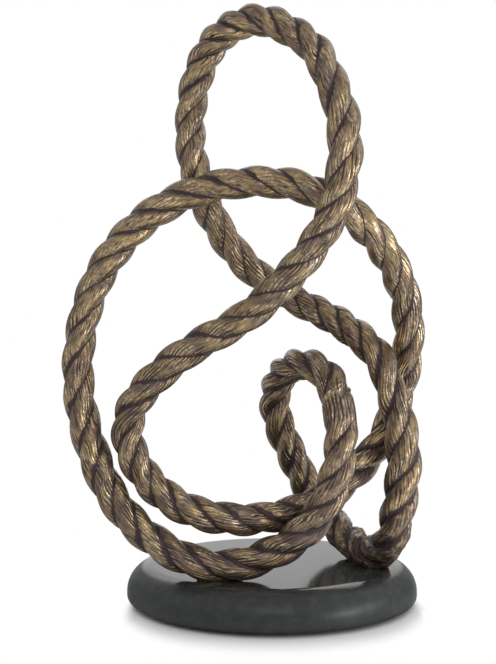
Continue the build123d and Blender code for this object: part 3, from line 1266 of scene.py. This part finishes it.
@dataclass(frozen=True)
class ZincSteel:
    """Plain zinc-plated steel of the hidden dowels and fasteners."""

    light: Colour = (0.62, 0.62, 0.64, 1.0)
    dull: Colour = (0.40, 0.41, 0.42, 1.0)
    roughness: Pair = (0.3, 0.45)

    def material(self, effects: SharedEffects) -> Material:
        """Build the material.

        Args:
            effects: The shared node groups.

        Returns:
            The material.
        """
        material, sheet, shader = new_material("zinc_steel")
        spangle = sheet.group(effects.mottle, Scale=350.0, Low=0.4, High=0.6)["Mask"]
        grain = sheet.group(effects.grain, Scale=1500.0, Share=0.1)
        dull = sheet.math("MAXIMUM", spangle, grain["Specks"])
        sheet.feed(shader, {
            "Base Color": sheet.mix(dull, self.light, self.dull),
            "Roughness": sheet.span(spangle, 0.0, 1.0, *self.roughness),
            "Metallic": 1.0})
        return material


@dataclass(frozen=True)
class BlackFelt:
    """Pressed black felt of the pad under the stone."""

    deep: Colour = (0.012, 0.012, 0.013, 1.0)
    lint: Colour = (0.035, 0.035, 0.037, 1.0)
    roughness: float = 0.95
    sheen: float = 0.3
    bump: float = 0.6
    bump_depth: float = 0.0003

    def material(self, effects: SharedEffects) -> Material:
        """Build the material.

        Args:
            effects: The shared node groups.

        Returns:
            The material.
        """
        material, sheet, shader = new_material("black_felt")
        fibres = sheet.group(effects.mottle, Scale=900.0, Low=0.4, High=0.62)["Mask"]
        sheet.feed(shader, {
            "Base Color": sheet.mix(fibres, self.deep, self.lint),
            "Roughness": self.roughness,
            "Sheen Weight": self.sheen,
            "Normal": sheet.bump(fibres, self.bump, self.bump_depth)})
        return material


@dataclass
class StoneBase:
    """The stone disc, its pad and the steel, kept as their CAD solids."""

    starts: tuple[tuple[str, Slot], ...] = (
        ("base_disc", Slot.STONE), ("base_pad", Slot.FELT), ("joint_dowel_", Slot.STEEL),
        ("foot_stud_", Slot.STEEL), ("foot_washer_", Slot.STEEL), ("foot_nut_", Slot.STEEL))

    def dress(self, finishes: dict[Slot, Material]) -> None:
        """Give the CAD nodes their finishes.

        Args:
            finishes: Finish of each slot.
        """
        for name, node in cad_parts.items():
            for start, slot in self.starts:
                if name.startswith(start):
                    for place in node.material_slots:
                        place.material = finishes[slot]
                    log.info("%s: %s", node.name, finishes[slot].name)


@dataclass(frozen=True)
class PhotoCamera:
    """Camera at the photograph's viewing angle."""

    place: Vector = (-0.0182, -1.0, 0.2425)
    pitch_down: float = 2.11
    focal_px: float = 1316.0
    long_side_px: float = 664.0
    sensor: float = 36.0
    clip: Pair = (0.02, 50.0)

    def build(self) -> None:
        """Make the camera the scene's own."""
        data = bpy.data.cameras.new("photo_camera")
        data.sensor_width = self.sensor
        data.lens = self.sensor * self.focal_px / self.long_side_px
        data.clip_start, data.clip_end = self.clip
        camera = new_object("photo_camera", data)
        camera.location = self.place
        camera.rotation_euler = (math.radians(90 - self.pitch_down), 0.0, 0.0)
        bpy.context.scene.camera = camera


@dataclass(frozen=True)
class Softbox:
    """One soft lamp that faces the sculpture."""

    name: str
    place: Vector
    width: float
    height: float
    power: float

    def build(self, target: Vector) -> None:
        """Hang the lamp and aim it.

        Args:
            target: Point that it faces.
        """
        data = bpy.data.lights.new(self.name, "AREA")
        data.shape = "RECTANGLE"
        data.size, data.size_y, data.energy = self.width, self.height, self.power
        lamp = new_object(self.name, data)
        lamp.location = self.place
        aim = np.array(target) - np.array(self.place)
        tilt = math.acos(-aim[2] / np.linalg.norm(aim))
        lamp.rotation_euler = (tilt, 0.0, math.atan2(-aim[0], aim[1]))


@dataclass(frozen=True)
class PaleFloor:
    """Floor that keeps the shadow near the base and is white farther out, in metres.

    The glows are what the gloss of the sculpture shows of the white part.
    """

    half: float = 3.0
    colour: Colour = (0.79, 0.79, 0.79, 1.0)
    fade_middle: Vector = (-0.002, 0.03, 0.0)
    fade_shape: Vector = (1.0, 0.74, 1.0)
    fade_range: Pair = (0.104, 0.1145)
    fade_radius: float = 0.1103
    fade_front: Pair = (0.006, 0.047)
    near_side: Vector = (0.94, -0.34, 0.0)
    near_range: Pair = (0.02, 0.18)
    near_glow: Pair = (0.54, 1.0)
    far_range: Pair = (-0.4, 0.4)
    far_glow: Pair = (0.70, 0.62)
    glow_range: Pair = (0.3, 0.9)

    def build(self) -> None:
        """Make the floor."""
        half = self.half
        mesh = bpy.data.meshes.new("floor")
        corners = [(-half, -half, 0), (half, -half, 0), (half, half, 0), (-half, half, 0)]
        mesh.from_pydata(corners, [], [(0, 1, 2, 3)])
        mesh.materials.append(self._material())
        floor = new_object("floor", mesh)

    def _material(self) -> Material:
        """Build the floor's material.

        Returns:
            The material.
        """
        material, sheet, shader = new_material("pale_floor")
        sheet.tree.nodes.remove(shader)
        place = sheet.place()
        axes = sheet.axes(place)
        oval = sheet.vector("ADD", place, self.fade_middle)["Vector"]
        oval = sheet.vector("MULTIPLY", oval, self.fade_shape)["Vector"]
        distance = sheet.vector("LENGTH", oval)["Value"]
        across = sheet.math("MULTIPLY", axes["X"], axes["X"])
        inside = sheet.math("SUBTRACT", self.fade_radius**2, across)
        ahead = sheet.math("SUBTRACT", sheet.math("SUBTRACT", 0.0, axes["Y"]),
                           sheet.math("SQRT", inside))
        far = sheet.math("MAXIMUM", sheet.span(distance, *self.fade_range),
                         sheet.span(ahead, *self.fade_front))
        toward = sheet.vector("DOT_PRODUCT", place, self.near_side)["Value"]
        near_glow = sheet.span(toward, *self.near_range, *self.near_glow)
        far_glow = sheet.span(axes["X"], *self.far_range, *self.far_glow)
        glow = sheet.span(distance, *self.glow_range, near_glow, far_glow)
        matt = sheet.add("BsdfDiffuse", {"Color": self.colour})
        white = sheet.add("Emission", {"Strength": sheet.math("MAXIMUM", glow, sheet.camera())})
        shown = sheet.math("MULTIPLY", far, sheet.seen())
        mixed = sheet.add("MixShader", {0: shown, 1: matt.outputs[0], 2: white.outputs[0]})
        sheet.feed(sheet.tree.nodes["Material Output"], {"Surface": mixed.outputs[0]})
        return material


@dataclass(frozen=True)
class WhiteSurround:
    """World that lights softly, shows white, and is dimmer in the gloss of the sculpture.

    Each range is of a direction's height, its depth or its nearness to a side.
    """

    white: Colour = (1.0, 1.0, 1.0, 1.0)
    fill: Pair = (0.55, 1.8)
    fill_range: Pair = (-0.5, 0.5)
    dim: Pair = (0.41, 0.65)
    dim_range: Pair = (0.0, 0.7)
    above: float = 0.45
    above_range: Pair = (0.75, 1.0)
    side: float = 0.85
    side_toward: Vector = (0.69, 0.22, 0.69)
    side_range: Pair = (0.7, 0.96)
    backdrop: float = 0.9
    backdrop_toward: Vector = (0.0, 0.99, 0.12)
    backdrop_range: Pair = (0.7, 0.95)

    def build(self) -> None:
        """Make the world the scene's own."""
        world = bpy.data.worlds.new("white_surround")
        world.use_nodes = True
        sheet = Sheet(world.node_tree)
        ray = sheet.place("Generated")
        axes = sheet.axes(ray)
        level = sheet.span(axes["Z"], *self.dim_range, *self.dim)
        level = sheet.span(axes["Z"], *self.above_range, level, self.above)
        beside = sheet.vector("DOT_PRODUCT", ray, self.side_toward)["Value"]
        level = sheet.span(beside, *self.side_range, level, self.side)
        behind = sheet.vector("DOT_PRODUCT", ray, self.backdrop_toward)["Value"]
        level = sheet.span(behind, *self.backdrop_range, level, self.backdrop)
        strength = sheet.add("Mix", {
            "Factor": sheet.seen(),
            "A": sheet.span(axes["Y"], *self.fill_range, *self.fill),
            "B": sheet.math("MAXIMUM", level, sheet.camera())}).outputs["Result"]
        background = world.node_tree.nodes["Background"]
        sheet.feed(background, {"Color": self.white, "Strength": strength})
        bpy.context.scene.world = world


@dataclass(frozen=True)
class Studio:
    """Pale floor, soft lamps and a white surround."""

    floor: PaleFloor = PaleFloor()
    surround: WhiteSurround = WhiteSurround()
    target: Vector = (0.0, -0.03, 0.20)
    lamps: tuple[Softbox, ...] = (
        Softbox("back_softbox", (-0.1, 1.3, 1.1), 1.8, 0.9, 2.5),
        Softbox("right_softbox", (1.12, -0.81, 0.20), 0.44, 0.36, 3.6),
        Softbox("side_softbox", (1.35, -0.32, 0.34), 0.60, 0.50, 2.3),
        Softbox("front_softbox", (0.02, -1.45, 1.05), 0.50, 0.40, 1.8),
    )

    def build(self) -> None:
        """Make the floor, the lamps and the world."""
        self.floor.build()
        for lamp in self.lamps:
            lamp.build(self.target)
        self.surround.build()
        bpy.context.scene.view_settings.view_transform = "Standard"


def main() -> None:
    """Build the sculpture, its finishes and its studio."""
    logging.basicConfig(level=logging.INFO, format="%(name)s %(message)s")
    effects = SharedEffects()
    PhotoCamera().build()
    Studio().build()
    knot = RopeKnot()
    knot.build()
    knot.dress(AntiqueBrass().material(effects))
    StoneBase().dress({Slot.STONE: DarkStone().material(effects),
                       Slot.FELT: BlackFelt().material(effects),
                       Slot.STEEL: ZincSteel().material(effects)})


if __name__ == "__main__":
    main()
